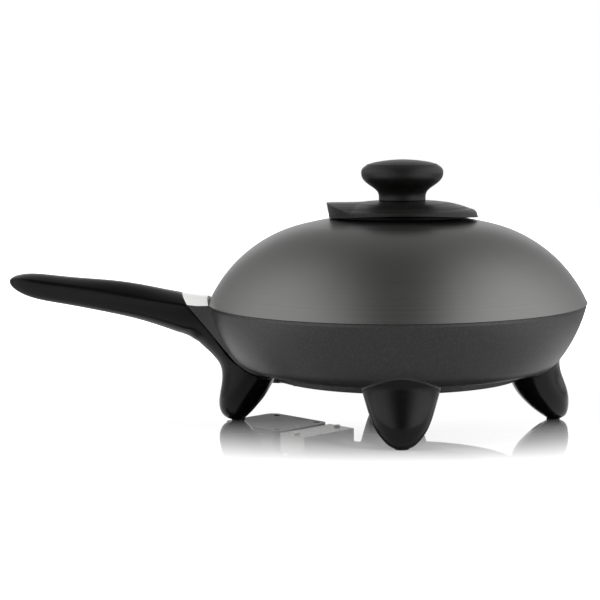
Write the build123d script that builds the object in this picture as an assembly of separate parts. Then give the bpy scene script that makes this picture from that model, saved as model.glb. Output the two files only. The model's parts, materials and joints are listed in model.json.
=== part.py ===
"""Electric skillet with a lift-off domed lid, a long handle and a plug-in heat control.

Millimetres, +Z up.  Every piece is drawn about the pan's own vertical axis, the handle along -X,
and is moved along X at the end so that the origin is the bottom centre of the whole skillet.
Profiles of turned pieces are drawn as (radius, height).
"""
from build123d import *
from math import acos, asin, atan2, cos, degrees, hypot, pi, radians, sin, sqrt, tan
import os

# ---------------------------------------------------------------- driving dimensions

# Pan casting
RIM_R = 154.8               # outside of the rim
RIM_Z = 98.3                # top of the rim above the table
RIM_BAND = 2.5              # upright band at the rim, above the curved side
WALL = 4.0
SIDE_R = 120.3              # one arc makes the whole curved side
SIDE_CENTRE_Z = 126.0
FLOOR_TOP_Z = 50.0          # cooking surface
FLOOR_UNDER_Z = 45.0
SKIRT_R = 107.0             # lower edge of the casting
SKIRT_Z = 43.3
SKIRT_SLOPE = 8.0           # degrees, from the lower edge outwards
SKIRT_THICK = 2.5
OUTER_CORNER_R = 22.0
INNER_CORNER_R = 24.0

# Where the plastic mouldings meet the casting, the same at the handle and at every foot
PARTING_R = 122.9           # where the sloping face would meet the level one
PARTING_Z = 36.9            # level face
PARTING_ANGLE = 52.0        # sloping face, degrees from level
PARTING_BLEND_R = 60.0
PARTING_GAP = 0.2

# Handle, from the pan's axis
HANDLE_REACH = 320.4

# Feet
FOOT_R = 129.5              # where a foot stands
PAD_R = 5.5
PAD_LIP = 0.8               # how far the rubber pad stands below the foot
FOOT_SCREW_R = 116.0        # distance of a foot's screw from the pan's axis

# Lid
LID_R = 155.3
LID_EDGE_Z = 99.6
LID_GAP = 0.25              # between rim and lid
LID_TOP_Z = 172.0
LID_CROWN_R = 337.0
LID_SHOULDER_R = 112.3
LID_THICK = 2.0
LID_FLANGE_R = 149.2        # drops inside the rim
LID_FLANGE_Z = 95.0
VENT_HOLE_R = 2.5
VENT_HOLE_RING_R = 44.0     # about the knob's axis
VENT_HOLE_STEP = 12.0       # degrees between the lid's three vent holes

# The knob and its vent plate stand a little off the middle of the lid
KNOB_X = 4.6

# Vent plate under the knob
PLATE_R = 62.2
PLATE_HALF_DEPTH = 59.0     # a little less than its radius, from front to back
PLATE_UNDER_Z = 168.3
PLATE_RISE = 4.3            # how much higher its edge is at the front and back than at the tab
PLATE_TOP_Z = 182.1
PLATE_WALL = 2.4
TAB_HALF_W = 50.0
TAB_CROWN_R = 126.0         # the tab's crown from front to back
PLATE_LEAN = 2.1            # how far the tab's end leans in at the bottom
SHUTTER_R = 54.5
SHUTTER_GAP = 1.0           # over the lid
SHUTTER_THICK = 2.6
SHUTTER_NOTCH_X = -38.0     # the notch that leaves the vent holes open
SHUTTER_NOTCH_HALF_W = 15.0
SLEEVE_R = 9.0
RUNNING_GAP = 0.06

# Knob
KNOB_NECK_R = 19.2
KNOB_R = 33.7
KNOB_BASE_Z = 182.4
KNOB_TOP_Z = 215.7
KNOB_CAP_R = 23.9

# Heater under the floor
RING_IN_R = 74.0
RING_OUT_R = 102.5
RING_Z = 37.7
ELEMENT_R = 3.1             # radius of the sheathed tube
ELEMENT_RING_R = 88.0
ELEMENT_Z = 41.7
TERMINAL_Z = 33.0
TERMINAL_Y = 16.0           # half the distance between the two pins
PIN_R = 2.4
PROBE_R = 3.0
PROBE_CLEARANCE = 0.08

# Heat control, in its own frame: x outwards from the pan's axis, y across
CONTROL_AZIMUTH = 135.0     # degrees from +X, beside the handle at the back
CASE_NOSE_X = 112.0
CASE_END_X = 186.0
CASE_HALF_W = 31.0
CASE_UNDER_Z = 21.0
CASE_SPLIT_Z = 38.0
CASE_TOP_Z = 50.0
CASE_WALL = 2.2
DIAL_X = 164.0
DIAL_R = 17.0
GLAND_Z = 31.0
GLAND_R = 3.8
GLAND_LENGTH = 14.0

HANDLE_AZIMUTH = 180.0
FRONT_AZIMUTH = 270.0
REAR_AZIMUTH = 90.0
RIGHT_AZIMUTH = 0.0

# Moves the skillet so that the origin is the middle of its length, to the nearest millimetre
PAN_X = round((HANDLE_REACH - LID_R) / 2)


# ---------------------------------------------------------------- small helpers

BOTH = (-1, 1)              # the two sides of a piece that comes in pairs


def turned(face):
    """Turn a (radius, height) face about the pan's axis."""
    return revolve(Plane.XZ * face, Axis.Z)


def outline(*points):
    return make_face(Polyline(*points, close=True))


def prism(face, half_width):
    """Extrude an (x, z) face to both sides of the XZ plane."""
    return extrude(Plane.XZ * face, amount=half_width, both=True)


def upright(x, y, z0, z1, radius):
    """A vertical cylinder from z0 to z1."""
    return Pos(x, y, (z0 + z1) / 2) * Cylinder(radius, z1 - z0)


def lying(x0, x1, y, z, radius):
    """A cylinder along X from x0 to x1."""
    return Pos((x0 + x1) / 2, y, z) * Rot(0, 90, 0) * Cylinder(radius, x1 - x0)


def block(x0, x1, y0, y1, z0, z1):
    return Pos((x0 + x1) / 2, (y0 + y1) / 2, (z0 + z1) / 2) * Box(x1 - x0, y1 - y0, z1 - z0)


def ring(r0, r1, z0, z1):
    return turned(outline((r0, z0), (r1, z0), (r1, z1), (r0, z1)))


def around(azimuth, shape):
    """Turn a shape drawn along +X to its place round the pan."""
    return Rot(0, 0, azimuth) * shape


def rounded_corner(face, point, radius):
    """Round the corner of a flat face that is nearest to a point."""
    corner = face.vertices().sort_by_distance((point[0], point[1], 0))[0]
    return fillet(corner, radius)


# ---------------------------------------------------------------- pan casting

SIDE_CENTRE_R = RIM_R - sqrt(SIDE_R ** 2 - (SIDE_CENTRE_Z - RIM_Z + RIM_BAND) ** 2)


def side_r(z, radius=SIDE_R):
    """Radius of the bowl's side at a height, for the outer or a concentric inner arc."""
    return SIDE_CENTRE_R + sqrt(radius ** 2 - (SIDE_CENTRE_Z - z) ** 2)


def side_arc(z_low, z_high, radius=SIDE_R):
    z_mid = (z_low + z_high) / 2
    points = [(side_r(z, radius), z) for z in (z_low, z_mid, z_high)]
    return ThreePointArc(*points)


def skirt_corner():
    """Where the sloping underside meets the arc of the side."""
    z = SKIRT_Z
    for _ in range(30):
        z = SKIRT_Z + (side_r(z) - SKIRT_R) * tan(radians(SKIRT_SLOPE))
    return side_r(z), z


def bowl_outer():
    """The bowl's outer form as a full solid."""
    corner_r, corner_z = skirt_corner()
    band_z = RIM_Z - RIM_BAND
    skirt_in_r = SKIRT_R - SKIRT_THICK
    face = make_face([
        side_arc(corner_z, band_z),
        Polyline((side_r(band_z), band_z), (RIM_R, RIM_Z), (0, RIM_Z), (0, FLOOR_UNDER_Z),
                 (skirt_in_r, FLOOR_UNDER_Z), (skirt_in_r, SKIRT_Z), (SKIRT_R, SKIRT_Z),
                 (corner_r, corner_z)),
    ])
    return turned(rounded_corner(face, (corner_r, corner_z), OUTER_CORNER_R))


def bowl_cavity():
    """The space that holds the food."""
    inner = SIDE_R - WALL
    band_z = RIM_Z - RIM_BAND
    floor_r = side_r(FLOOR_TOP_Z, inner)
    above = RIM_Z + 5
    face = make_face([
        side_arc(FLOOR_TOP_Z, band_z, inner),
        Polyline((side_r(band_z, inner), band_z), (side_r(band_z, inner), above), (0, above),
                 (0, FLOOR_TOP_Z), (floor_r, FLOOR_TOP_Z)),
    ])
    return turned(rounded_corner(face, (floor_r, FLOOR_TOP_Z), INNER_CORNER_R))


def over_parting(lift):
    """Everything above the parting face, for a piece drawn along +X."""
    slope = tan(radians(PARTING_ANGLE))
    top = 140.0
    low = PARTING_Z + lift
    knee = PARTING_R - lift * tan(radians(PARTING_ANGLE / 2))
    face = outline((60, low), (knee, low), (knee + (top - low) / slope, top), (60, top))
    return prism(rounded_corner(face, (knee, low), PARTING_BLEND_R), 60)


# ---------------------------------------------------------------- limbs: handle and feet

SECTION_STEPS = 4           # points from the middle of a section to its edge


def limb_section(anchor_x, anchor_z, tilt, depth, half_width, crown, crown_power, belly_power):
    """One closed section of a limb, drawn along +X.

    The belly's middle is at the anchor.  The depth runs up when tilt is 0 and towards the pan
    when it is 90.  The crown is the bulge beyond the section's two side edges.
    """
    steps = range(-SECTION_STEPS, SECTION_STEPS + 1)
    across = [sin(pi / 2 * step / SECTION_STEPS) for step in steps]
    waist = depth - crown
    top = [(s * half_width, waist + crown * (1 - abs(s) ** 2) ** crown_power) for s in across]
    belly = [(s * half_width, waist * (1 - (1 - abs(s) ** belly_power) ** (1 / belly_power)))
             for s in across]
    direction = (-cos(radians(tilt)), 0, -sin(radians(tilt)))
    plane = Plane(origin=(anchor_x, 0, anchor_z), x_dir=(0, -1, 0), z_dir=direction)
    return plane * make_face([Spline(*top), Spline(*belly)])


# (distance of the belly from the pan's axis, height of the belly, tilt, depth, half width,
#  crown, crown power, belly power).  A crown power of 1 gives a crisp edge along the handle's
#  top, and 0.5 a round limb.
HANDLE_SECTIONS = [
    (HANDLE_REACH, 114.8, 0, 4.0, 5.0, 0.9, 1.0, 2.2),
    (317.6, 111.3, 0, 9.8, 10.5, 1.3, 1.0, 2.2),
    (310.5, 106.8, 0, 16.2, 15.0, 2.5, 1.0, 2.4),
    (288.0, 100.2, 0, 22.2, 17.5, 4.6, 1.0, 2.6),
    (250.0, 93.2, 0, 25.6, 19.5, 6.2, 1.0, 2.6),
    (215.0, 85.4, 0, 29.2, 22.0, 8.3, 1.0, 2.4),
    (186.0, 75.8, 0, 33.0, 25.0, 7.4, 1.0, 2.1),
    (162.6, 63.8, 30, 48.4, 27.5, 9.8, 0.9, 1.8),
    (150.4, 51.9, 60, 52.0, 28.0, 14.0, 0.6, 1.8),
    (145.4, 39.0, 90, 45.2, 27.0, 20.0, 0.5, 1.9),
    (146.5, 26.5, 90, 40.5, 24.4, 19.0, 0.5, 2.0),
    (148.0, 16.5, 90, 35.4, 20.4, 17.0, 0.5, 2.0),
    (147.1, 8.5, 90, 27.6, 15.4, 13.0, 0.5, 2.0),
    (143.7, 3.4, 90, 18.9, 10.6, 9.0, 0.5, 2.0),
    (137.5, PAD_LIP, 90, 10.0, 6.2, 5.0, 0.5, 2.0),
]
FOOT_SECTIONS = [
    (139.5, 64.0, 90, 44.0, 35.4, 21.0, 0.5, 2.0),
    (135.6, 55.0, 90, 43.0, 33.8, 21.0, 0.5, 2.0),
    (134.3, 46.0, 90, 42.4, 31.2, 21.0, 0.5, 2.0),
    (136.7, 36.0, 90, 43.4, 28.2, 21.0, 0.5, 2.0),
    (140.1, 26.5, 90, 43.2, 25.3, 20.0, 0.5, 2.0),
    (142.0, 16.5, 90, 37.4, 21.3, 17.0, 0.5, 2.0),
    (141.5, 8.5, 90, 28.3, 16.0, 13.0, 0.5, 2.0),
    (139.4, 3.4, 90, 19.0, 10.7, 9.0, 0.5, 2.0),
    (134.9, PAD_LIP, 90, 10.5, 6.2, 5.0, 0.5, 2.0),
]


def limb(sections):
    return loft([limb_section(*section) for section in sections])


def screw_way(shank_r, head_r, seat_z, top_z):
    """The hole of one foot screw: a wide way up to the head's seat, then the shank's hole."""
    wide = upright(FOOT_SCREW_R, 0, -1, seat_z, head_r)
    return wide + upright(FOOT_SCREW_R, 0, seat_z - 1, top_z, shank_r)


FOOT_SCREW_SEAT_Z = 24.0
FOOT_SCREW_TOP_Z = 46.5
FOOT_SCREW_SHANK_R = 1.9
FOOT_SCREW_HEAD_R = 3.8
FOOT_SCREW_HEAD_H = 2.6
PAD_STEM_R = 2.4
PAD_STEM_H = 6.0
LIMB_PAD_R = {HANDLE_AZIMUTH: 132.3}


def foot_pad(azimuth):
    """A rubber button pressed into the bottom of a foot."""
    x = LIMB_PAD_R.get(azimuth, FOOT_R)
    button = upright(x, 0, 0, PAD_LIP, PAD_R)
    stem = upright(x, 0, PAD_LIP, PAD_LIP + PAD_STEM_H, PAD_STEM_R)
    return around(azimuth, button + stem)


def foot_moulding(blank, pad_x):
    """A limb below the parting face, bored for its screw and its pad."""
    body = blank - over_parting(0)
    body -= screw_way(FOOT_SCREW_SHANK_R + 0.2, FOOT_SCREW_HEAD_R + 0.6, FOOT_SCREW_SEAT_Z, 60)
    return body - upright(pad_x, 0, -1, PAD_LIP + PAD_STEM_H + 0.3, PAD_STEM_R + 0.05)


def foot(azimuth):
    return around(azimuth, foot_moulding(limb(FOOT_SECTIONS), FOOT_R))


def foot_screw(azimuth):
    """A pan-head screw, head down."""
    seat = FOOT_SCREW_SEAT_Z
    head = upright(FOOT_SCREW_R, 0, seat - FOOT_SCREW_HEAD_H, seat, FOOT_SCREW_HEAD_R)
    shank = upright(FOOT_SCREW_R, 0, seat, FOOT_SCREW_TOP_Z, FOOT_SCREW_SHANK_R)
    slot = Pos(FOOT_SCREW_R, 0, seat - FOOT_SCREW_HEAD_H) * Box(5, 1.1, 1.8)
    return around(azimuth, head + shank - slot)


# Two screws hold the handle to the casting's arm, square to the sloping parting face
HANDLE_SCREW_X = 158.5
HANDLE_SCREW_Y = 7.5
HANDLE_SCREW_R = 2.4
HANDLE_SCREW_HEAD_R = 4.2
HANDLE_SCREW_SEAT = 9.0     # below the parting face
HANDLE_SCREW_GRIP = 9.5     # into the arm


def handle_screw_place(side):
    z = PARTING_Z + (HANDLE_SCREW_X - PARTING_R) * tan(radians(PARTING_ANGLE))
    return Pos(HANDLE_SCREW_X, side * HANDLE_SCREW_Y, z) * Rot(0, PARTING_ANGLE - 90, 0)


def handle_screw(side):
    """Drawn along its own Z, the parting face at 0 and the pan at +Z."""
    head_h = 3.0
    head = upright(0, 0, -HANDLE_SCREW_SEAT - head_h, -HANDLE_SCREW_SEAT, HANDLE_SCREW_HEAD_R)
    shank = upright(0, 0, -HANDLE_SCREW_SEAT, HANDLE_SCREW_GRIP - 0.5, HANDLE_SCREW_R)
    slot = Pos(0, 0, -HANDLE_SCREW_SEAT - head_h) * Box(6, 1.2, 2.0)
    return around(HANDLE_AZIMUTH, handle_screw_place(side) * (head + shank - slot))


def handle_screw_way(side):
    wide = upright(0, 0, -40, -HANDLE_SCREW_SEAT, HANDLE_SCREW_HEAD_R + 0.6)
    return handle_screw_place(side) * (wide + upright(0, 0, -12, 3, HANDLE_SCREW_R + 0.2))


def handle_body():
    """Grip, root and left foot in one moulding."""
    body = foot_moulding(limb(HANDLE_SECTIONS), LIMB_PAD_R[HANDLE_AZIMUTH])
    for side in BOTH:
        body -= handle_screw_way(side)
    return around(HANDLE_AZIMUTH, body)


def pan_body():
    """Bowl, handle arm and three foot seats in one casting."""
    inside_ring = upright(0, 0, 0, FLOOR_UNDER_Z, RING_OUT_R + 1)
    lid_space = upright(0, 0, RIM_Z + 0.1, 200, LID_R + 1)
    outer = bowl_outer()
    body = outer
    limbs = {HANDLE_AZIMUTH: HANDLE_SECTIONS, FRONT_AZIMUTH: FOOT_SECTIONS,
             REAR_AZIMUTH: FOOT_SECTIONS, RIGHT_AZIMUTH: FOOT_SECTIONS}
    for azimuth, sections in limbs.items():
        seat = limb(sections) & over_parting(PARTING_GAP)
        seat = seat - inside_ring - lid_space
        body += around(azimuth, seat)
    body -= bowl_cavity()
    for azimuth in limbs:
        body -= around(azimuth, upright(FOOT_SCREW_R, 0, 30, FOOT_SCREW_TOP_Z + 0.3,
                                        FOOT_SCREW_SHANK_R + 0.05))
    for side in BOTH:
        way = upright(0, 0, -3, HANDLE_SCREW_GRIP, HANDLE_SCREW_R + 0.05)
        body -= around(HANDLE_AZIMUTH, handle_screw_place(side) * way)
    for azimuth in HEATER_SCREW_AZIMUTHS:
        body -= around(azimuth, upright(HEATER_SCREW_R, 0, 40, HEATER_SCREW_TOP_Z + 0.2, 1.95))
    return body


# ---------------------------------------------------------------- heater

HEATER_SCREW_R = 97.0
HEATER_SCREW_AZIMUTHS = (22.5, 112.5, 202.5, 292.5)
HEATER_SCREW_TOP_Z = 48.5
WELL_IN_X = 28.0
WELL_OUT_X = 79.5
ELBOW_R = (ELEMENT_Z - TERMINAL_Z) / 2
# The ring stops where a tangent elbow comes out over the pin's line
RING_END = degrees(asin(TERMINAL_Y / hypot(ELEMENT_RING_R, ELBOW_R)) + atan2(ELBOW_R, ELEMENT_RING_R))
LEG_X = ELEMENT_RING_R * cos(radians(RING_END)) + ELBOW_R * sin(radians(RING_END))
GUARD_SCREW_X = 96.0
GUARD_SCREW_Y = 24.5


def heater_casting():
    """Ring that carries the element, with the probe's blind bore in a rib across it."""
    body = ring(RING_IN_R, RING_OUT_R, RING_Z, FLOOR_UNDER_Z)
    rib = block(WELL_IN_X, WELL_OUT_X, -6.5, 6.5, TERMINAL_Z - 6, FLOOR_UNDER_Z)
    bore = lying(WELL_IN_X + 3, WELL_OUT_X + 1, 0, TERMINAL_Z, PROBE_R + PROBE_CLEARANCE)
    groove_r = ELEMENT_R + 0.1
    groove = turned(Pos(ELEMENT_RING_R, ELEMENT_Z) * Circle(groove_r))
    groove += ring(ELEMENT_RING_R - groove_r, ELEMENT_RING_R + groove_r, ELEMENT_Z,
                   FLOOR_UNDER_Z + 1)
    body = body - groove + around(CONTROL_AZIMUTH, rib - bore)
    room = ELEMENT_R + 0.7
    for side in BOTH:
        near, far = sorted((side * (TERMINAL_Y - room), side * (TERMINAL_Y + ELBOW_R + 1)))
        leg_way = block(LEG_X - room, LEG_X + room + 1.5, near, far, 30, FLOOR_UNDER_Z + 1)
        guard_hole = upright(GUARD_SCREW_X, side * GUARD_SCREW_Y, 30, RING_Z + 4.3, 1.45)
        body -= around(CONTROL_AZIMUTH, leg_way + guard_hole)
    for azimuth in HEATER_SCREW_AZIMUTHS:
        way = upright(HEATER_SCREW_R, 0, 30, 50, 2.1)
        way += upright(HEATER_SCREW_R, 0, 30, RING_Z + 2.8, 3.9)
        body -= around(azimuth, way)
    return body


def heater_screw(azimuth):
    head = upright(HEATER_SCREW_R, 0, RING_Z + 0.4, RING_Z + 2.8, 3.6)
    shank = upright(HEATER_SCREW_R, 0, RING_Z + 2.8, HEATER_SCREW_TOP_Z, 1.9)
    slot = Pos(HEATER_SCREW_R, 0, RING_Z + 0.4) * Box(5, 1.1, 1.6)
    return around(azimuth, head + shank - slot)


def elbow(start, heading, leaving):
    """Quarter bend from one direction into another, square to it."""
    start, heading, leaving = Vector(*start), Vector(*heading), Vector(*leaving)
    middle = start + (heading * sin(pi / 4) + leaving * (1 - cos(pi / 4))) * ELBOW_R
    return ThreePointArc(start, middle, start + (heading + leaving) * ELBOW_R)


def heating_element():
    """Sheathed tube bent into a ring, its two cold ends turned down and then out to the pins."""
    end = radians(RING_END)
    ring_arc = CenterArc((0, 0), ELEMENT_RING_R, RING_END, 360 - 2 * RING_END)
    edges = [Pos(0, 0, ELEMENT_Z) * ring_arc]
    for side in BOTH:
        tip = (ELEMENT_RING_R * cos(end), side * ELEMENT_RING_R * sin(end), ELEMENT_Z)
        down = elbow(tip, (sin(end), -side * cos(end), 0), (0, 0, -1))
        out = elbow(down @ 1, (0, 0, -1), (1, 0, 0))
        edges += [down, out, Line(out @ 1, (PIN_ROOT_X, (out @ 1).Y, TERMINAL_Z))]
    path = Wire(edges)
    section = Plane(origin=path @ 0, z_dir=path % 0) * Circle(ELEMENT_R)
    return around(CONTROL_AZIMUTH, sweep(section, path=path))


PIN_ROOT_X = 97.0
PIN_TIP_X = 130.0


def terminal_pin(side):
    y = side * TERMINAL_Y
    pin = lying(PIN_ROOT_X, PIN_TIP_X - PIN_R, y, TERMINAL_Z, PIN_R)
    return around(CONTROL_AZIMUTH, pin + Pos(PIN_TIP_X - PIN_R, y, TERMINAL_Z) * Sphere(PIN_R))


def terminal_insulator(side):
    """Ceramic bush on the root of a pin."""
    y = side * TERMINAL_Y
    bush = lying(PIN_ROOT_X + 0.1, PIN_ROOT_X + 7, y, TERMINAL_Z, 4.6)
    bush -= lying(PIN_ROOT_X - 1, PIN_ROOT_X + 8, y, TERMINAL_Z, PIN_R + 0.05)
    return around(CONTROL_AZIMUTH, bush)


GUARD_X = (80.5, 111.0)
GUARD_HALF_W = 30.0
GUARD_UNDER_Z = 22.0


def terminal_guard():
    """Open-ended hood round the live pins, hung under the heater ring."""
    x0, x1 = GUARD_X
    wall = 2.0
    body = block(x0, x1, -GUARD_HALF_W, GUARD_HALF_W, GUARD_UNDER_Z, RING_Z - 0.1)
    inner = GUARD_HALF_W - wall
    body -= block(x0 + wall, x1 + 1, -inner, inner, GUARD_UNDER_Z + wall, RING_Z + 1)
    body -= lying(x0 - 1, x0 + wall + 1, 0, TERMINAL_Z, PROBE_R + 0.8)
    for side in BOTH:
        post = upright(GUARD_SCREW_X, side * GUARD_SCREW_Y, GUARD_UNDER_Z, RING_Z - 0.1, 3.6)
        body = body + post
        body -= upright(GUARD_SCREW_X, side * GUARD_SCREW_Y, 10, 60, 1.6)
    return around(CONTROL_AZIMUTH, body)


def guard_screw(side):
    y = side * GUARD_SCREW_Y
    head = upright(GUARD_SCREW_X, y, GUARD_UNDER_Z - 1.8, GUARD_UNDER_Z, 2.8)
    shank = upright(GUARD_SCREW_X, y, GUARD_UNDER_Z, RING_Z + 4, 1.4)
    return around(CONTROL_AZIMUTH, head + shank)


# ---------------------------------------------------------------- lid

def lid_arcs(inset):
    """Crown and shoulder arcs of the lid, as one edge pair, moved inwards by inset."""
    crown_z = LID_TOP_Z - LID_CROWN_R
    reach = LID_CROWN_R - LID_SHOULDER_R
    edge_r, edge_z = LID_R, LID_EDGE_Z - crown_z
    span = hypot(edge_r, edge_z)
    turn = acos((span ** 2 + reach ** 2 - LID_SHOULDER_R ** 2) / (2 * span * reach))
    lean = atan2(edge_z, edge_r) + turn
    centre = (reach * cos(lean), crown_z + reach * sin(lean))
    crown = LID_CROWN_R - inset
    shoulder = LID_SHOULDER_R - inset
    meet = (crown * cos(lean), crown_z + crown * sin(lean))
    mid = (lean + pi / 2) / 2
    crown_arc = ThreePointArc((0, crown_z + crown),
                              (crown * cos(mid), crown_z + crown * sin(mid)), meet)
    low_z = RIM_Z + LID_GAP
    low = atan2(low_z - centre[1], sqrt(shoulder ** 2 - (low_z - centre[1]) ** 2))
    mid = (low + lean) / 2
    ends = [(centre[0] + shoulder * cos(a), centre[1] + shoulder * sin(a))
            for a in (lean, mid, low)]
    return crown_arc, ThreePointArc(*ends), ends[2]


def dome(inset):
    crown_arc, shoulder_arc, end = lid_arcs(inset)
    sides = Polyline(end, (0, end[1]), (0, LID_TOP_Z - inset))
    return turned(make_face([crown_arc, shoulder_arc, sides]))


def lid_shell():
    """Spun dome with a seat bead, a flange that drops inside the rim, and vent holes."""
    low_z = RIM_Z + LID_GAP
    body = dome(0) - dome(LID_THICK)
    body += ring(LID_FLANGE_R - LID_THICK, LID_R - 1.5, low_z, low_z + LID_THICK)
    body += ring(LID_FLANGE_R - LID_THICK, LID_FLANGE_R, LID_FLANGE_Z, low_z + LID_THICK)
    holes = upright(0, 0, 150, 180, KNOB_SCREW_R + 0.3)
    for step in (-1, 0, 1):
        hole = upright(-VENT_HOLE_RING_R, 0, 150, 180, VENT_HOLE_R)
        holes += Rot(0, 0, step * VENT_HOLE_STEP) * hole
    return body - Pos(KNOB_X, 0, 0) * holes


# ---------------------------------------------------------------- vent plate, about the knob's axis

def cap_over_lid(lift):
    """A large ball that clears the lid's crown by lift."""
    return Pos(0, 0, LID_TOP_Z - LID_CROWN_R) * Sphere(LID_CROWN_R + lift)


PLATE_PROFILE = [(19.5, 181.9), (28.2, 181.3), (47.6, 178.0), (57.0, 174.8), (61.1, 172.1)]
TAB_PROFILE = [(-66.0, 180.3), (-57.0, 180.8), (-46.0, 180.8), (-34.0, 181.0), (-20.0, 181.6)]


def plate_top(drop):
    """The plate's upper profile, lowered by drop."""
    points = [(r, z - drop) for r, z in PLATE_PROFILE]
    return Spline(*points, tangents=[(1, -0.05), (0.35, -1)])


def plate_limits():
    """Leaning oval drum, cut below by a wide roll so that the lower edge rises to front and back."""
    roll_r = PLATE_R ** 2 / (2 * PLATE_RISE)
    roll = Pos(0, 0, PLATE_UNDER_Z + roll_r) * Rot(0, 90, 0) * Cylinder(roll_r, 4 * PLATE_R)
    lean = Vector(-PLATE_LEAN, 0, TAB_PROFILE[1][1] - PLATE_UNDER_Z)
    start = Vector(PLATE_LEAN / 2, 0, PLATE_UNDER_Z) - lean
    oval = Ellipse(PLATE_R - PLATE_LEAN / 2, PLATE_HALF_DEPTH)
    return extrude(Pos(start) * oval, amount=3 * lean.length, dir=lean) & roll


def tab_section(x, top_z):
    """Slice of the tab across X: flat-sided, crowned on top."""
    shoulder_z = top_z - TAB_CROWN_R + (TAB_CROWN_R ** 2 - TAB_HALF_W ** 2) ** 0.5
    left, right = (-TAB_HALF_W, shoulder_z), (TAB_HALF_W, shoulder_z)
    face = make_face([
        ThreePointArc(left, (0, top_z), right),
        Polyline(right, (TAB_HALF_W, PLATE_UNDER_Z), (-TAB_HALF_W, PLATE_UNDER_Z), left),
    ])
    return Plane.YZ.offset(x) * face


def thumb_tab():
    """Broad crowned ridge from the hub to the plate's edge."""
    return loft([tab_section(x, z) for x, z in TAB_PROFILE]) & plate_limits()


def vent_plate():
    """Cover with a thumb tab, hollow underneath, free to turn on the knob's sleeve."""
    bore = SLEEVE_R + RUNNING_GAP
    low = PLATE_UNDER_Z
    hub_r, hub_z = PLATE_PROFILE[0]
    edge_r, edge_z = PLATE_PROFILE[-1]
    face = make_face([
        plate_top(0),
        Polyline((edge_r, edge_z), (PLATE_R, low), (bore, low), (bore, PLATE_TOP_Z),
                 (19.0, PLATE_TOP_Z), (hub_r, hub_z)),
    ])
    disc = turned(face) & plate_limits()
    pocket_face = make_face([
        plate_top(PLATE_WALL),
        Polyline((edge_r, edge_z - PLATE_WALL), (edge_r, 160.0), (hub_r, 160.0),
                 (hub_r, hub_z - PLATE_WALL)),
    ])
    room = upright(PLATE_LEAN / 2, 0, 150, 190, PLATE_HALF_DEPTH - 2)
    under = (turned(pocket_face) & room) + (cap_over_lid(SHUTTER_GAP + SHUTTER_THICK) & room)
    return disc + thumb_tab() - under


def vent_shutter():
    """Dished disc under the plate, notched at the tab, that covers the lid's vent holes when turned."""
    body = cap_over_lid(SHUTTER_GAP + SHUTTER_THICK) & ring(SLEEVE_R + 1, SHUTTER_R, 160, 180)
    body -= cap_over_lid(SHUTTER_GAP)
    half_w = SHUTTER_NOTCH_HALF_W
    return body - block(-80, SHUTTER_NOTCH_X, -half_w, half_w, 150, 190)


# ---------------------------------------------------------------- knob

KNOB_SCREW_R = 2.5
KNOB_SCREW_TOP_Z = 200.0
CAP_SEAT_Z = 211.0


def knob_sleeve():
    """Sleeve that the vent plate turns on, between the lid and the knob."""
    return ring(KNOB_SCREW_R + 0.2, SLEEVE_R, LID_TOP_Z + 0.02, KNOB_BASE_Z - 0.02)


KNOB_FLANK = [(KNOB_NECK_R, 184.8), (20.2, 189.0), (24.5, 193.1), (29.8, 197.0), (33.0, 201.2),
              (KNOB_R, 205.0), (32.4, 208.7), (28.9, 211.4), (KNOB_CAP_R, 213.1)]


def knob_body():
    start, end = KNOB_FLANK[0], KNOB_FLANK[-1]
    face = make_face([
        Spline(*KNOB_FLANK, tangents=[(0, 1), (-1, 0.3)]),
        Polyline(end, (KNOB_CAP_R, CAP_SEAT_Z), (0, CAP_SEAT_Z), (0, KNOB_SCREW_TOP_Z + 1),
                 (KNOB_SCREW_R, KNOB_SCREW_TOP_Z + 1), (KNOB_SCREW_R, KNOB_BASE_Z),
                 (KNOB_NECK_R, KNOB_BASE_Z), start),
    ])
    return turned(face)


def knob_cap():
    """Domed disc let into the top of the knob."""
    rim = KNOB_CAP_R - 0.1
    rim_z = KNOB_FLANK[-1][1] + 0.05
    face = make_face([
        ThreePointArc((0, KNOB_TOP_Z), (12.4, KNOB_TOP_Z - 0.75), (rim, rim_z)),
        Polyline((rim, rim_z), (rim, CAP_SEAT_Z + 0.05), (0, CAP_SEAT_Z + 0.05),
                 (0, KNOB_TOP_Z)),
    ])
    return turned(face)


def knob_washer():
    under = LID_TOP_Z - LID_THICK
    return ring(KNOB_SCREW_R + 0.1, 9.0, under - 1.6, under - 0.3)


def knob_screw():
    """Pan-head screw from inside the lid up into the knob."""
    seat = LID_TOP_Z - LID_THICK - 1.6
    head = upright(0, 0, seat - 3.2, seat, 5.0)
    shank = upright(0, 0, seat, KNOB_SCREW_TOP_Z, KNOB_SCREW_R - 0.05)
    slot = Pos(0, 0, seat - 3.2) * Box(7, 1.2, 2.4)
    return head + shank - slot


# ---------------------------------------------------------------- heat control

CASE_SCREWS = [(121.5, -24.0), (121.5, 24.0), (173.0, -23.0), (173.0, 23.0)]
CASE_SLOPE_X = 150.0        # the top rises from the nose to here, clear of the pan
CASE_NOSE_TOP_Z = 41.5
CASE_FACET = (8.0, 6.0)     # sloping facet at the outer end of the top


def case_blank(inset):
    """The control's outer form, or its inside when inset by the wall."""
    side = outline((CASE_NOSE_X, CASE_UNDER_Z), (CASE_END_X, CASE_UNDER_Z),
                   (CASE_END_X, CASE_TOP_Z - CASE_FACET[1]),
                   (CASE_END_X - CASE_FACET[0], CASE_TOP_Z), (CASE_SLOPE_X, CASE_TOP_Z),
                   (CASE_NOSE_X, CASE_NOSE_TOP_Z))
    length = CASE_END_X - CASE_NOSE_X
    plan = Pos((CASE_NOSE_X + CASE_END_X) / 2, 0) * RectangleRounded(length, 2 * CASE_HALF_W, 9)
    if inset:
        side = offset(side, -inset, kind=Kind.INTERSECTION)
        plan = offset(plan, -inset)
    return prism(side, CASE_HALF_W + 1) & extrude(plan, 80)


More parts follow.
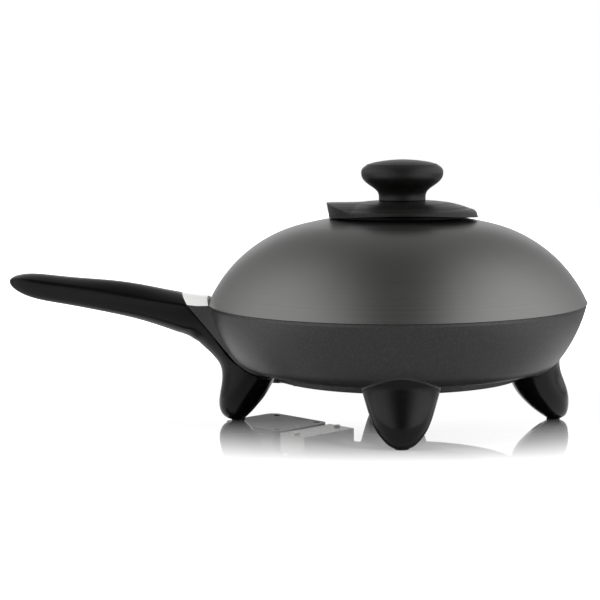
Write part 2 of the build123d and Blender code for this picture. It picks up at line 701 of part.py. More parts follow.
def control_local(shape):
    return around(CONTROL_AZIMUTH, shape)


def lower_case():
    """Lower half of the control's case, with the gland for the cord."""
    under_split = block(100, 200, -40, 40, 0, CASE_SPLIT_Z)
    collar = lying(CASE_END_X - GLAND_LENGTH + 2, CASE_END_X + 2, 0, GLAND_Z, GLAND_R + 2.4)
    body = (case_blank(0) - case_blank(CASE_WALL)) & under_split
    for x, y in CASE_SCREWS:
        body += upright(x, y, CASE_UNDER_Z + 1, CASE_SPLIT_Z, 3.8)
    body += collar
    body -= lying(100, 200, 0, GLAND_Z, GLAND_R) & block(150, 200, -9, 9, 0, 60)
    for x, y in CASE_SCREWS:
        body -= upright(x, y, 10, 60, 1.6) + upright(x, y, 10, CASE_UNDER_Z + 3, 3.0)
    for side in BOTH:
        body -= lying(100, 120, side * TERMINAL_Y, TERMINAL_Z, PIN_R + 1.4)
    return control_local(body - lying(100, 120, 0, TERMINAL_Z, PROBE_R + 0.05))


def upper_case():
    """Upper half, with the dial's bearing and the lens seat."""
    over_split = block(100, 200, -40, 40, CASE_SPLIT_Z + 0.05, 80)
    body = (case_blank(0) - case_blank(CASE_WALL)) & over_split
    posts = Part()
    for x, y in CASE_SCREWS:
        posts += upright(x, y, CASE_SPLIT_Z + 0.05, 60, 3.8)
    body += posts & case_blank(CASE_WALL / 2)
    for x, y in CASE_SCREWS:
        body -= upright(x, y, 30, CASE_SPLIT_Z + 4.5, 1.45)
    body -= upright(DIAL_X, 0, 30, 80, SHAFT_R + RUNNING_GAP)
    return control_local(body - lens_place() * upright(0, 0, -6, 6, LENS_R + 0.05))


SHAFT_R = 3.0
LENS_R = 3.0
LENS_Y = 15.0


def lens_place():
    """Middle of the sloping facet, with Z square to it."""
    run, rise = CASE_FACET
    angle = degrees(atan2(rise, run))
    return Pos(CASE_END_X - run / 2, LENS_Y, CASE_TOP_Z - rise / 2) * Rot(0, angle, 0)


def pilot_lens():
    stem = upright(0, 0, -3.0, 0, LENS_R)
    cap = Pos(0, 0, -0.4) * (Sphere(LENS_R + 0.7) & block(-9, 9, -9, 9, 0.4, 9))
    return control_local(lens_place() * (stem + cap))


def pilot_lamp():
    lamp = upright(0, 0, -8.0, -3.4, 1.8) + Pos(0, 0, -3.4) * Sphere(1.8) \
        & block(-5, 5, -5, 5, -8, -3.1)
    return control_local(lens_place() * lamp)


def probe_tube():
    """Closed steel tube that feels the pan's heat, flanged inside the nose."""
    tip = WELL_IN_X + 8
    body = lying(tip, CASE_NOSE_X + 12, 0, TERMINAL_Z, PROBE_R)
    body += Pos(tip, 0, TERMINAL_Z) * Sphere(PROBE_R)
    flange_x = CASE_NOSE_X + CASE_WALL + 0.05
    return control_local(body + lying(flange_x, flange_x + 2, 0, TERMINAL_Z, 6.0))


def socket_contact(side):
    """Split tube that grips a terminal pin."""
    y = side * TERMINAL_Y
    x0 = CASE_NOSE_X + CASE_WALL + 0.4
    body = lying(x0, x0 + 22, y, TERMINAL_Z, PIN_R + 1.2)
    body -= lying(x0 - 1, x0 + 19, y, TERMINAL_Z, PIN_R + 0.06)
    return control_local(body - block(x0 - 1, x0 + 14, y - 0.4, y + 0.4, TERMINAL_Z, 60))


def thermostat_frame():
    """Steel bracket on the floor of the case that carries the two blades."""
    floor = CASE_UNDER_Z + CASE_WALL + 0.05
    body = block(138, 169, -8, 8, floor, floor + 1.5)
    post = block(138, 144, -6, 6, floor + 1.5, floor + 5.0)
    return control_local(body + post)


def bimetal_blade():
    z = CASE_UNDER_Z + CASE_WALL + 5.1
    return control_local(block(138.5, 168, -3.5, 3.5, z, z + 0.8))


def spacer_block():
    z = CASE_UNDER_Z + CASE_WALL + 6.0
    return control_local(block(138.5, 143.5, -5, 5, z, z + 2.4))


def contact_blade():
    z = CASE_UNDER_Z + CASE_WALL + 8.5
    blade = block(138.5, 167, -3, 3, z, z + 0.6)
    return control_local(blade + upright(166, 0, z - 0.9, z, 1.8))


def dial_shaft():
    """Spindle with a cam at its foot, held by the bearing in the upper case."""
    body = upright(DIAL_X, 0, 36.0, 57.0, SHAFT_R)
    return control_local(body + upright(DIAL_X, 0, 36.0, 38.5, 6.0))


DIAL_UNDER_Z = CASE_TOP_Z + 0.6
DIAL_TOP_Z = 60.0
DIAL_RIBS = 24


def control_dial():
    """Round dial with a ribbed edge and a raised bar across the top."""
    body = upright(DIAL_X, 0, DIAL_UNDER_Z, DIAL_TOP_Z - 3, DIAL_R)
    body += block(DIAL_X - DIAL_R + 2, DIAL_X + DIAL_R - 2, -3.2, 3.2, DIAL_TOP_Z - 4, DIAL_TOP_Z)
    for i in range(DIAL_RIBS):
        a = 2 * pi * i / DIAL_RIBS
        x, y = DIAL_X + (DIAL_R + 0.4) * cos(a), (DIAL_R + 0.4) * sin(a)
        body -= upright(x, y, DIAL_UNDER_Z + 1.5, DIAL_TOP_Z, 1.0)
    return control_local(body - upright(DIAL_X, 0, DIAL_UNDER_Z - 1, 57.2, SHAFT_R + 0.02))


def case_screw(index):
    x, y = CASE_SCREWS[index]
    seat = CASE_UNDER_Z + 3
    head = upright(x, y, seat - 2, seat, 2.8)
    return control_local(head + upright(x, y, seat, CASE_SPLIT_Z + 4, 1.4))


# ---------------------------------------------------------------- the set of nodes

def group(*solids):
    return Compound(list(solids))


FEET = (HANDLE_AZIMUTH, FRONT_AZIMUTH, REAR_AZIMUTH, RIGHT_AZIMUTH)

knob_group = {
    "knob_sleeve": knob_sleeve(),
    "knob_body": knob_body(),
    "knob_cap": knob_cap(),
    "knob_washer": knob_washer(),
    "knob_screw": knob_screw(),
    "vent_plate": vent_plate(),
    "vent_shutter": vent_shutter(),
}
nodes = {
    "pan_body": pan_body(),
    "heater_casting": heater_casting(),
    "heater_screws": group(*[heater_screw(a) for a in HEATER_SCREW_AZIMUTHS]),
    "heating_element": heating_element(),
    "terminal_pins": group(*[terminal_pin(s) for s in BOTH]),
    "terminal_insulators": group(*[terminal_insulator(s) for s in BOTH]),
    "terminal_guard": terminal_guard(),
    "guard_screws": group(*[guard_screw(s) for s in BOTH]),
    "handle_body": handle_body(),
    "handle_screws": group(*[handle_screw(s) for s in BOTH]),
    "front_foot": foot(FRONT_AZIMUTH),
    "rear_foot": foot(REAR_AZIMUTH),
    "right_foot": foot(RIGHT_AZIMUTH),
    "foot_screws": group(*[foot_screw(a) for a in FEET]),
    "foot_pads": group(*[foot_pad(a) for a in FEET]),
    "lid_shell": lid_shell(),
    "control_lower_case": lower_case(),
    "control_upper_case": upper_case(),
    "control_screws": group(*[case_screw(i) for i in range(len(CASE_SCREWS))]),
    "probe_tube": probe_tube(),
    "socket_contacts": group(*[socket_contact(s) for s in BOTH]),
    "thermostat_frame": thermostat_frame(),
    "bimetal_blade": bimetal_blade(),
    "blade_spacer": spacer_block(),
    "contact_blade": contact_blade(),
    "pilot_lens": pilot_lens(),
    "pilot_lamp": pilot_lamp(),
    "dial_shaft": dial_shaft(),
    "control_dial": control_dial(),
}
nodes.update({name: Pos(KNOB_X, 0, 0) * shape for name, shape in knob_group.items()})

os.makedirs("parts", exist_ok=True)
for name, shape in nodes.items():
    export_step(Pos(PAN_X, 0, 0) * shape, f"parts/{name}.step")
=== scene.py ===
"""Dresses the electric skillet's CAD model with finishes, studio light, a floor and a camera.

Metres, in the CAD model's frame: the handle along -X, +Z up, the pan's own axis at X = PAN_X.
"""

import bmesh
import bpy
import json
from math import cos, sin
from mathutils import Matrix, Vector


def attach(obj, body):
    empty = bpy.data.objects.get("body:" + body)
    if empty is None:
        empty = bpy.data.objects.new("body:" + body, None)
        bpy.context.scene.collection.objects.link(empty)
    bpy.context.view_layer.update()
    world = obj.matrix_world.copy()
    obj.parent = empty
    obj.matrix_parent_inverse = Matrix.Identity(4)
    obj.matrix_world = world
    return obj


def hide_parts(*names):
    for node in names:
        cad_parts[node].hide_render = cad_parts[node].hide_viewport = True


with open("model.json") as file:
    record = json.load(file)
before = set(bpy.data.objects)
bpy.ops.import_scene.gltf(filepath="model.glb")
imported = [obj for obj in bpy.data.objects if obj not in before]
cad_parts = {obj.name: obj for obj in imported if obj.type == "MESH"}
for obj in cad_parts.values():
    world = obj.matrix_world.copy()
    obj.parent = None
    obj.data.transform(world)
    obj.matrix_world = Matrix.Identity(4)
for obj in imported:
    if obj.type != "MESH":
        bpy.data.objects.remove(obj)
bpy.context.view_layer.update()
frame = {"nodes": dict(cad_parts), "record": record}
cad = frame["nodes"]

MM = 0.001
PAN_X = 0.083               # the pan's axis


# ---------------------------------------------------------------- materials

RIM_RADII = (154.6 * MM, 154.7 * MM)    # the arm starts past the rim, between these
RIM_HEIGHTS = (98.4 * MM, 98.5 * MM)    # and its top face is above it, between these
NOISE_MID = (0.3, 0.7)                  # a noise keeps mostly between these


def linear(hex_colour):
    """An sRGB hex colour as linear RGBA."""
    parts = [int(hex_colour[i:i + 2], 16) / 255 for i in (0, 2, 4)]
    return [c / 12.92 if c <= 0.04045 else ((c + 0.055) / 1.055) ** 2.4 for c in parts] + [1.0]


def add_node(tree, kind, inputs=(), **settings):
    """Add a node. Inputs are values or output sockets, in order or by a socket's name or number."""
    node = tree.nodes.new(kind)
    for name, value in settings.items():
        setattr(node, name, value)
    for socket, value in inputs.items() if isinstance(inputs, dict) else enumerate(inputs):
        if isinstance(value, bpy.types.NodeSocket):
            tree.links.new(value, node.inputs[socket])
        else:
            node.inputs[socket].default_value = value
    return node


def new_finish(name, colour, roughness, metallic=0.0, **sockets):
    """A Principled material; sockets gives other inputs of the shader."""
    material = bpy.data.materials.new(name)
    material.use_nodes = True
    tree = material.node_tree
    shader = tree.nodes["Principled BSDF"]
    shader.inputs["Base Color"].default_value = linear(colour)
    shader.inputs["Roughness"].default_value = roughness
    shader.inputs["Metallic"].default_value = metallic
    for socket, value in sockets.items():
        shader.inputs[socket.replace("_", " ")].default_value = value
    material.diffuse_color = linear(colour)
    return material, tree, shader


def place(tree, axis_x=0.0):
    """Object coordinates, centred on a vertical axis at axis_x."""
    where = add_node(tree, "ShaderNodeTexCoord").outputs["Object"]
    if not axis_x:
        return where
    centred = add_node(tree, "ShaderNodeMapping", {"Vector": where, "Location": (-axis_x, 0, 0)})
    return centred.outputs[0]


def radius(tree, where):
    """Distance from the vertical axis of the coordinates."""
    flat = add_node(tree, "ShaderNodeVectorMath", (where, (1, 1, 0)), operation="MULTIPLY")
    length = add_node(tree, "ShaderNodeVectorMath", (flat.outputs[0],), operation="LENGTH")
    return length.outputs["Value"]


def together(tree, *amounts):
    """Amounts of 0..1 multiplied: high only where every one is high."""
    both = amounts[0]
    for amount in amounts[1:]:
        both = add_node(tree, "ShaderNodeMath", (both, amount), operation="MULTIPLY").outputs[0]
    return both


def run_colour(tree, shader, amount, dark, pale):
    """Run the base colour from dark to pale with amount."""
    mix = add_node(tree, "ShaderNodeMix", {"Factor": amount, 6: linear(dark), 7: linear(pale)},
                   data_type="RGBA")
    tree.links.new(mix.outputs[2], shader.inputs["Base Color"])


def run_roughness(tree, shader, amount, low, high):
    """Run the roughness from low to high with a noise, so that gloss is a little uneven."""
    rough = add_node(tree, "ShaderNodeMapRange", (amount, *NOISE_MID, low, high))
    tree.links.new(rough.outputs[0], shader.inputs["Roughness"])


def relief(tree, shader, height, depth, edge=0.4 * MM):
    """Bump from a height of 0..1 that stands for depth metres; hard edges get a radius of edge."""
    rounded = add_node(tree, "ShaderNodeBevel", {"Radius": edge}, samples=6)
    bump = add_node(tree, "ShaderNodeBump", {
        "Height": height, "Distance": depth, "Strength": 1.0, "Normal": rounded.outputs["Normal"],
    })
    tree.links.new(bump.outputs["Normal"], shader.inputs["Normal"])


def spun_anodised():
    """Spun aluminium, anodised charcoal: a satin metal with faint turning rings.

    Real turning rings are about 0.2 mm apart. These are 0.9 mm apart, so that they show.
    """
    material, tree, shader = new_finish("spun_anodised_aluminium", "787878", 0.34, 1.0)
    rings = add_node(tree, "ShaderNodeTexNoise", {
        "W": radius(tree, place(tree, PAN_X)), "Scale": 1 / (0.9 * MM), "Detail": 3.0,
    }, noise_dimensions="1D").outputs["Fac"]
    run_colour(tree, shader, rings, "747473", "7C7C7B")
    run_roughness(tree, shader, rings, 0.31, 0.37)
    relief(tree, shader, rings, 0.01 * MM, 0.6 * MM)
    return material


def fired_coating():
    """Cast aluminium under a fired coating: dark and satin, with a fine metallic fleck.

    A real fleck is about 0.1 mm across. This one is 0.6 mm, so that it shows. The arm's top
    face is set as ground bare metal, and its near white is a painted reflection of the backdrop
    at a low angle, picked out by which way the faces point.
    """
    dark, rough, metallic = "434343", 0.4, 0.8
    material, tree, shader = new_finish("fired_coating", dark, rough, metallic)
    where = place(tree)
    cells = add_node(tree, "ShaderNodeTexVoronoi", {"Vector": where, "Scale": 1 / (0.6 * MM)})
    level = add_node(tree, "ShaderNodeSeparateColor", (cells.outputs["Color"],)).outputs[0]
    fleck = add_node(tree, "ShaderNodeMapRange", (level, 0.72, 1.0, 0.0, 1.0)).outputs[0]
    coat = add_node(tree, "ShaderNodeMix", {
        "Factor": fleck, 6: linear(dark), 7: linear("505050"),
    }, data_type="RGBA").outputs[2]

    # Painted reflection, near white as ground bare metal, where three things hold: past the rim,
    # above it, and not facing sideways as the arm's sides do
    from_axis = radius(tree, place(tree, PAN_X))
    past_rim = add_node(tree, "ShaderNodeMapRange", (from_axis, *RIM_RADII, 0.0, 1.0)).outputs[0]
    facing = add_node(tree, "ShaderNodeNewGeometry").outputs["Normal"]
    sideways = add_node(tree, "ShaderNodeSeparateXYZ", (facing,)).outputs["Y"]
    sideways = add_node(tree, "ShaderNodeMath", (sideways,), operation="ABSOLUTE").outputs[0]
    not_side = add_node(tree, "ShaderNodeMapRange", (sideways, 0.5, 0.6, 1.0, 0.0)).outputs[0]
    height = add_node(tree, "ShaderNodeSeparateXYZ", (where,)).outputs["Z"]
    above = add_node(tree, "ShaderNodeMapRange", (height, *RIM_HEIGHTS, 0.0, 1.0)).outputs[0]
    painted_glare_top = together(tree, past_rim, not_side, above)

    # F2F2F0 on the arm's top is a painted reflection of the backdrop, not the metal's own colour
    colour = add_node(tree, "ShaderNodeMix", {"Factor": painted_glare_top, 6: coat, 7: linear("F2F2F0")},
                      data_type="RGBA").outputs[2]
    tree.links.new(colour, shader.inputs["Base Color"])
    for socket, coated, ground in (("Roughness", rough, 0.25), ("Metallic", metallic, 0.3)):
        value = add_node(tree, "ShaderNodeMapRange", (painted_glare_top, 0.0, 1.0, coated, ground))
        tree.links.new(value.outputs[0], shader.inputs[socket])
    pebble = add_node(tree, "ShaderNodeTexNoise", {
        "Vector": where, "Scale": 1 / (1.6 * MM), "Detail": 3.0,
    }).outputs["Fac"]
    relief(tree, shader, pebble, 0.015 * MM, 1.2 * MM)
    return material


def moulded(name, colour, rough, gloss):
    """Moulded phenolic: black, with the faint 5 mm waviness of a moulded face in its gloss."""
    material, tree, shader = new_finish(name, colour, rough, IOR=1.58, Specular_IOR_Level=gloss)
    wave = add_node(tree, "ShaderNodeTexNoise", {
        "Vector": place(tree), "Scale": 1 / (5 * MM), "Detail": 3.0,
    }).outputs["Fac"]
    run_roughness(tree, shader, wave, rough * 0.85, rough * 1.2)
    relief(tree, shader, wave, 0.012 * MM)
    return material


def turned_satin():
    """Satin phenolic: a warm, soft black with faint polishing rings from top to bottom.

    Real polishing rings are about 0.2 mm apart. These are 1.1 mm apart, so that they show.
    """
    material, tree, shader = new_finish("satin_phenolic", "0E0D0D", 0.38,
                                        IOR=1.45, Specular_IOR_Level=0.4)
    height = add_node(tree, "ShaderNodeSeparateXYZ", (place(tree),)).outputs["Z"]
    rings = add_node(tree, "ShaderNodeTexNoise", {"W": height, "Scale": 1 / (1.1 * MM)},
                     noise_dimensions="1D").outputs["Fac"]
    run_colour(tree, shader, rings, "0B0A0A", "100F0E")
    run_roughness(tree, shader, rings, 0.34, 0.44)
    relief(tree, shader, rings, 0.012 * MM)
    return material


def metal(name, colour, rough, size=1.2 * MM):
    """Bare or plated metal, its gloss a little uneven over patches about size metres across."""
    material, tree, shader = new_finish(name, colour, rough, 1.0)
    patches = add_node(tree, "ShaderNodeTexNoise", {
        "Vector": place(tree), "Scale": 1 / size, "Detail": 4.0,
    }).outputs["Fac"]
    run_roughness(tree, shader, patches, rough * 0.75, rough * 1.25)
    relief(tree, shader, patches, 0.008 * MM)
    return material


def grained(name, dark, pale, rough, size, depth):
    """A dull solid with a fine grain: rubber, fired clay or a textured moulding.

    A real grain is 0.05 to 0.2 mm across. The sizes given are coarser, so that it shows.
    """
    material, tree, shader = new_finish(name, dark, rough)
    grain = add_node(tree, "ShaderNodeTexNoise", {
        "Vector": place(tree), "Scale": 1 / size, "Detail": 4.0,
    }).outputs["Fac"]
    run_colour(tree, shader, grain, dark, pale)
    relief(tree, shader, grain, depth)
    return material


def clear(name, colour, rough):
    """Coloured clear plastic or glass: light passes, with a slight waviness in the gloss."""
    material, tree, shader = new_finish(name, colour, rough, IOR=1.49, Transmission_Weight=0.85)
    wave = add_node(tree, "ShaderNodeTexNoise", {
        "Vector": place(tree), "Scale": 1 / (2 * MM),
    }).outputs["Fac"]
    run_roughness(tree, shader, wave, rough, rough * 1.6)
    return material


finishes = {
    # the bowl: dark, satin, flecked; the arm's top face carries a painted near-white reflection
    "pan_metal": fired_coating(),
    # the ring under the bowl: a sand-cast skin, dull and a little patchy
    "heater_metal": metal("cast_aluminium", "444444", 0.5, 1.5 * MM),
    # the lid: charcoal satin, ringed
    "lid_metal": spun_anodised(),
    # the handle: deep black, its highlights narrow and dim
    "handle_black": moulded("polished_phenolic", "050505", 0.22, 0.13),
    # the feet: the same black, with livelier highlights
    "foot_black": moulded("polished_phenolic_foot", "050505", 0.2, 0.24),
    # the knob and the plate under it: a soft sheen
    "knob_black": turned_satin(),
    "vent_black": turned_satin(),
    # the shutter: a dark sheet with a low shine
    "shutter_steel": metal("blackened_steel", "161616", 0.42),
    # screws and washer: light grey and bright
    "screw_steel": metal("zinc_plated_steel", "A9A9A6", 0.32),
    # the element's sheath: grey, dulled by the drawing
    "element_steel": metal("stainless_sheath", "8E8C88", 0.4),
    # the pins: warm white and near a mirror
    "pin_nickel": metal("nickel_plate", "C9C6C0", 0.18),
    # bushes: a cream, chalky fired clay
    "bush_ceramic": grained("steatite", "DCD8CC", "E8E5DB", 0.55, 0.8 * MM, 0.01 * MM),
    # the hood round the pins: grey with a rolled sheen
    "guard_steel": metal("pressed_steel", "7E7E7C", 0.38),
    # pads: matt black, with the grain of a blasted mould
    "pad_rubber": grained("moulded_rubber", "161616", "222222", 0.7, 0.5 * MM, 0.02 * MM),
    # the control's case: black, with the matt grain of a spark-eroded mould
    "case_black": grained("textured_phenolic", "141415", "1D1D1E", 0.46, 0.7 * MM, 0.03 * MM),
    # the dial: a shade paler than the case, and smoother
    "dial_black": moulded("satin_phenolic_dial", "18181A", 0.34, 0.4),
    # the probe: a bright drawn tube
    "probe_steel": metal("drawn_stainless", "B4B2AE", 0.26),
    # contacts: yellow and bright from the press
    "contact_brass": metal("stamped_brass", "C9A45A", 0.3),
    # the thermostat's blades: a dull straw grey
    "bimetal_strip": metal("rolled_bimetal", "A8997A", 0.36),
    # the spacer between the blades: the same clay as the bushes
    "spacer_ceramic": grained("steatite_spacer", "DCD8CC", "E8E5DB", 0.55, 0.8 * MM, 0.01 * MM),
    # the pilot lens: amber, lit through
    "lens_amber": clear("amber_acrylic", "D86A22", 0.08),
    # the lamp behind it: faintly warm glass
    "lamp_glass": clear("lamp_glass", "E9C9A0", 0.05),
}
slot_of = {part["node"]: part["material_slot"] for part in frame["record"]["subparts"]}

for name, obj in cad.items():
    for slot in obj.material_slots:
        slot.material = finishes[slot_of[name]]


# ---------------------------------------------------------------- the handle's skin

FOLD = Vector((-66, 0, 50.5)) * MM              # where the leg turns out of the handle
FOLD_REACH = 19 * MM                            # how far the easing runs to each side
FOLD_SHARES = (1.0, 0.85, 0.7, 0.55)            # of that reach, one round of smoothing each
SCREW_SIDE = 7.5 * MM                           # each screw's distance from the middle
SCREW_START = Vector((-75.5, 0, 82.47)) * MM    # on the parting face, between the two screws
SCREW_X, SCREW_Z = 0.6157, 0.788
SCREW_LINE = Vector((SCREW_X, 0, SCREW_Z))      # along the screws, up from the belly
SCREW_WAY_R = 4.95 * MM
SCREW_WAY_MOUTH = 15.8 * MM                     # how far along the way the belly is
PLUG_MIDDLE, PLUG_LENGTH = 12 * MM, 15 * MM     # of each plug, measured along its way
BELLY_SLOPE, BELLY_FALL = 0.1, 0.46             # how the belly leans, along and across
MOUTH_REACH = 13 * MM                           # how far round a mouth the plug is blended
VOXEL = 0.75 * MM
SKIN_PASSES, MOUTH_PASSES, FOLD_PASSES = 3, 60, 60


def from_fold(vert):
    """Distance from the fold, which runs straight across the handle."""
    return Vector((vert.co.x - FOLD.x, 0, vert.co.z - FOLD.z)).length


def from_mouths(vert):
    """Distance from the nearer screw way's mouth."""
    mouth = SCREW_START - SCREW_WAY_MOUTH * SCREW_LINE
    return min((vert.co - mouth - Vector((0, side * SCREW_SIDE, 0))).length for side in (-1, 1))


def plug_screw_ways(bm):
    """Fill each screw way from its seat to the belly, cut off along the belly."""
    lean = SCREW_LINE.to_track_quat("Z", "Y").to_matrix().to_4x4()
    for side in (-1, 1):
        start = SCREW_START + Vector((0, side * SCREW_SIDE, 0))
        plug = bmesh.ops.create_cone(
            bm, cap_ends=True, segments=48, radius1=SCREW_WAY_R, radius2=SCREW_WAY_R,
            depth=PLUG_LENGTH, matrix=Matrix.Translation(start - PLUG_MIDDLE * SCREW_LINE) @ lean,
        )["verts"]
        edges = dict.fromkeys(edge for vert in plug for edge in vert.link_edges)
        faces = dict.fromkeys(face for vert in plug for face in vert.link_faces)
        tilt = Vector((BELLY_SLOPE * SCREW_Z, BELLY_FALL * side, -BELLY_SLOPE * SCREW_X))
        cut = bmesh.ops.bisect_plane(
            bm, geom=list(plug) + list(edges) + list(faces), clear_outer=True,
            plane_co=start - SCREW_WAY_MOUTH * SCREW_LINE, plane_no=tilt - SCREW_LINE,
        )["geom_cut"]
        rim = [item for item in cut if isinstance(item, bmesh.types.BMEdge)]
        bmesh.ops.holes_fill(bm, edges=rim, sides=0)


def smooth(bm, verts, passes, across=True):
    """Even verts out; across says whether they may also move across the handle."""
    for _ in range(passes):
        bmesh.ops.smooth_vert(bm, verts=verts, factor=0.5,
                              use_axis_x=True, use_axis_y=across, use_axis_z=True)


def handle_skin():
    """The handle as one closed skin: screw ways capped flush, the fold above its foot eased."""
    bm = bmesh.new()
    bm.from_mesh(cad["handle_body"].data)
    bmesh.ops.remove_doubles(bm, verts=bm.verts, dist=0.005 * MM)
    plug_screw_ways(bm)
    rough = bpy.data.meshes.new("handle_rough")
    bm.to_mesh(rough)
    bm.free()
    skin = bpy.data.objects.new("handle_skin", rough)
    bpy.context.collection.objects.link(skin)
    remesh = skin.modifiers.new("one_skin", "REMESH")
    remesh.mode = "VOXEL"
    remesh.voxel_size = VOXEL
    shaped = skin.evaluated_get(bpy.context.evaluated_depsgraph_get())
    mesh = bpy.data.meshes.new_from_object(shaped)
    skin.modifiers.clear()

    bm = bmesh.new()
    bm.from_mesh(mesh)
    smooth(bm, bm.verts[:], SKIN_PASSES)
    smooth(bm, [vert for vert in bm.verts if from_mouths(vert) < MOUTH_REACH], MOUTH_PASSES)
    distance = {vert: from_fold(vert) for vert in bm.verts}
    for share in FOLD_SHARES:
        near = [vert for vert, far in distance.items() if far < share * FOLD_REACH]
        smooth(bm, near, FOLD_PASSES, across=False)
    bm.to_mesh(mesh)
    bm.free()
    skin.data = mesh
    mesh.materials.clear()
    mesh.materials.append(finishes["handle_black"])
    for polygon in mesh.polygons:
        polygon.use_smooth = True
    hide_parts("handle_body")
    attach(skin, "root")


handle_skin()


# ---------------------------------------------------------------- studio

FLOOR_HALF = 3.0
POLISH_Y = (-0.24, 0.0)         # the polish grows away from the camera, between these
POLISH_RADII = (0.22, 0.42)     # and ends away from the pan's axis, between these
PALE_X = (0.17, 0.3)            # gloss sees a pale floor at the sides, past these,
PALE_Y = (-0.05, 0.08)          # and in front, before these
GLOW_RADII = (0.3, 0.8)         # the floor melts into the backdrop, between these

SOFTBOXES = (
    # name, place, aim, width, height and watts
    ("left_softbox", (-1.1, -0.5, 0.45), (0.05, 0, 0.08), 0.35, 0.9, 5.0),
    ("right_softbox", (1.15, -0.75, 0.5), (0.1, 0, 0.08), 0.4, 1.0, 9.0),
    ("top_softbox", (0.08, 0.2, 1.6), (0.08, 0, 0.0), 1.4, 1.0, 14.0),
)

YAW, PITCH, ROLL = -0.028, 0.1085, -0.008       # of the camera, in radians
EYE_LEFT, EYE_BACK, EYE_UP = 0.080, 1.438, 0.257    # from the pan's axis, on the table
LENS_MM, SENSOR_MM = 105.0, 36.0


def make_floor():
    """White acrylic floor: polished under the skillet, and dull nearer the camera."""
    mesh = bpy.data.meshes.new("floor")
    bm = bmesh.new()
    bmesh.ops.create_grid(bm, x_segments=4, y_segments=4, size=FLOOR_HALF)
    bm.to_mesh(mesh)
    bm.free()
    floor = bpy.data.objects.new("floor", mesh)
    bpy.context.collection.objects.link(floor)
    material = bpy.data.materials.new("white_acrylic_floor")
    material.use_nodes = True
    tree = material.node_tree
    tree.nodes.clear()
    path = add_node(tree, "ShaderNodeLightPath")
    spot = add_node(tree, "ShaderNodeSeparateXYZ", (place(tree, PAN_X),))

    # Dull white, dimmer where gloss sees the floor under and behind the skillet
    aside = add_node(tree, "ShaderNodeMath", (spot.outputs["X"],), operation="ABSOLUTE").outputs[0]
    aside = add_node(tree, "ShaderNodeMapRange", (aside, *PALE_X, 0.0, 1.0)).outputs[0]
    before = add_node(tree, "ShaderNodeMapRange", (spot.outputs["Y"], *PALE_Y, 1.0, 0.0))
    pale = together(tree, aside, before.outputs[0])
    dim = add_node(tree, "ShaderNodeMath", (1.0, pale), operation="SUBTRACT").outputs[0]
    shade = add_node(tree, "ShaderNodeMix", {
        "Factor": together(tree, dim, path.outputs["Is Glossy Ray"]),
        6: linear("F4F4F4"), 7: linear("9A9A9A"),
    }, data_type="RGBA")
    diffuse = add_node(tree, "ShaderNodeBsdfDiffuse", {"Color": shade.outputs[2]})

    # A white glow for the camera alone, so that the floor has no horizon
    from_middle = radius(tree, place(tree))
    far = add_node(tree, "ShaderNodeMapRange", (from_middle, *GLOW_RADII, 0.42, 1.0)).outputs[0]
    glow = add_node(tree, "ShaderNodeEmission", {
        "Color": (1, 1, 1, 1), "Strength": together(tree, path.outputs["Is Camera Ray"], far),
    })
    lit = add_node(tree, "ShaderNodeAddShader", (diffuse.outputs[0], glow.outputs[0]))

    mirror = add_node(tree, "ShaderNodeBsdfGlossy", {"Color": (1, 1, 1, 1), "Roughness": 0.0})
    from_pan = radius(tree, place(tree, PAN_X))
    behind = add_node(tree, "ShaderNodeMapRange", (spot.outputs["Y"], *POLISH_Y, 0.0, 1.0))
    around = add_node(tree, "ShaderNodeMapRange", (from_pan, *POLISH_RADII, 1.0, 0.0))
    polish = together(tree, behind.outputs[0], around.outputs[0])
    mix = add_node(tree, "ShaderNodeMixShader", (polish, lit.outputs[0], mirror.outputs[0]))
    out = add_node(tree, "ShaderNodeOutputMaterial")
    tree.links.new(mix.outputs[0], out.inputs["Surface"])
    floor.data.materials.append(material)


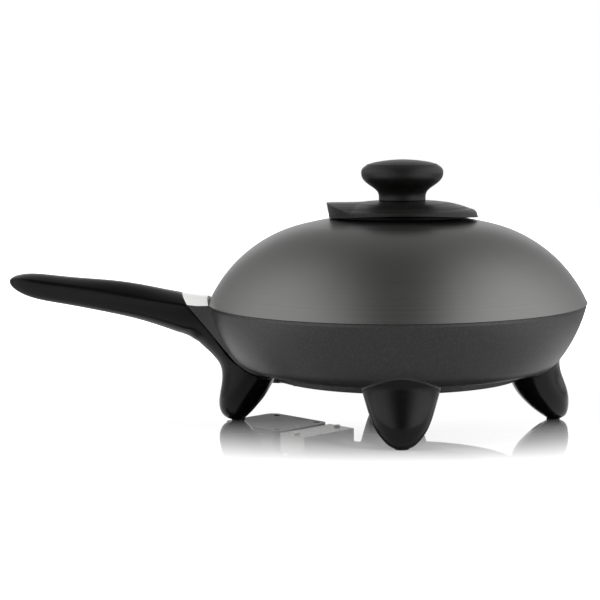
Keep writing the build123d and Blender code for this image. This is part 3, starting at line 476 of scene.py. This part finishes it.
def light_world():
    """White for the camera, and for gloss a room that is dim ahead and bright to the sides."""
    world = bpy.data.worlds.new("studio")
    bpy.context.scene.world = world
    world.use_nodes = True
    tree = world.node_tree
    tree.nodes.clear()
    way = add_node(tree, "ShaderNodeTexCoord").outputs["Generated"]
    way = add_node(tree, "ShaderNodeSeparateXYZ", (way,))
    across, back, height = (way.outputs[axis] for axis in "XYZ")

    # The room: a middle and two flanks, the left one a little weaker
    side = add_node(tree, "ShaderNodeMath", (across,), operation="ABSOLUTE").outputs[0]
    side = add_node(tree, "ShaderNodeMapRange", {"Value": side, "From Min": 0.1, "From Max": 0.8},
                    interpolation_type="SMOOTHSTEP").outputs["Result"]
    middle = add_node(tree, "ShaderNodeMapRange", (back, 0.1, 0.8, 0.16, 0.42)).outputs[0]
    flank = add_node(tree, "ShaderNodeMapRange", (back, 0.2, 0.95, 1.5, 0.4)).outputs[0]
    leftward = add_node(tree, "ShaderNodeMapRange", (across, -0.5, 0.5, 0.82, 1.0)).outputs[0]
    room = add_node(tree, "ShaderNodeMix", {
        "Factor": side, 2: middle, 3: together(tree, flank, leftward),
    }).outputs[0]

    # The lit sweep low behind the skillet, which ends a little past its sides
    limits = [add_node(tree, "ShaderNodeMapRange", values).outputs[0] for values in (
        (back, 0.6, 0.85, 0.0, 1.0),
        (height, 0.25, 0.5, 1.0, 0.0),
        (across, 0.25, 0.5, 1.0, 0.0),
        (across, -0.5, -0.25, 0.0, 1.0),
    )]
    sweep = together(tree, *limits)
    around = add_node(tree, "ShaderNodeMath", (room, sweep), operation="MAXIMUM").outputs[0]

    # The camera, clear pieces and the floor's sharp mirror see plain white instead
    path = add_node(tree, "ShaderNodeLightPath")
    white = path.outputs["Is Camera Ray"]
    for ray in ("Is Transmission Ray", "Is Singular Ray"):
        white = add_node(tree, "ShaderNodeMath", (white, path.outputs[ray]),
                         operation="MAXIMUM").outputs[0]
    seen = add_node(tree, "ShaderNodeMix", {"Factor": white, 2: around, 3: 1.0}).outputs[0]
    background = add_node(tree, "ShaderNodeBackground", {"Color": (1, 1, 1, 1), "Strength": seen})
    out = add_node(tree, "ShaderNodeOutputWorld")
    tree.links.new(background.outputs[0], out.inputs["Surface"])


def softbox(name, stand, aim, width, height, power):
    """A rectangular lamp at stand that faces aim. Gloss doesn't show it, the room does that."""
    data = bpy.data.lights.new(name, "AREA")
    data.shape = "RECTANGLE"
    data.size, data.size_y = width, height
    data.energy = power
    lamp = bpy.data.objects.new(name, data)
    lamp.visible_glossy = False
    bpy.context.collection.objects.link(lamp)
    turn = (Vector(aim) - Vector(stand)).to_track_quat("-Z", "Y").to_matrix().to_4x4()
    lamp.matrix_world = Matrix.Translation(stand) @ turn


def make_camera():
    """Long lens, a little above the lid and looking a little down."""
    ahead = Vector((sin(YAW), cos(YAW), 0))
    right = Vector((cos(YAW), -sin(YAW), 0))
    up = Vector((0, 0, 1))
    forward = cos(PITCH) * ahead - sin(PITCH) * up
    upright = cos(PITCH) * up + sin(PITCH) * ahead
    x_axis = cos(ROLL) * right + sin(ROLL) * upright
    y_axis = cos(ROLL) * upright - sin(ROLL) * right
    eye = -EYE_LEFT * right - EYE_BACK * ahead + EYE_UP * up + Vector((PAN_X, 0, 0))
    turn = Matrix((x_axis, y_axis, -forward)).transposed().to_4x4()
    data = bpy.data.cameras.new("camera")
    data.sensor_fit = "HORIZONTAL"
    data.sensor_width = SENSOR_MM
    data.lens = LENS_MM
    camera = bpy.data.objects.new("camera", data)
    bpy.context.collection.objects.link(camera)
    camera.matrix_world = Matrix.Translation(eye) @ turn
    bpy.context.scene.camera = camera


make_floor()
light_world()
for lamp in SOFTBOXES:
    softbox(*lamp)
make_camera()
bpy.context.scene.view_settings.view_transform = "Standard"
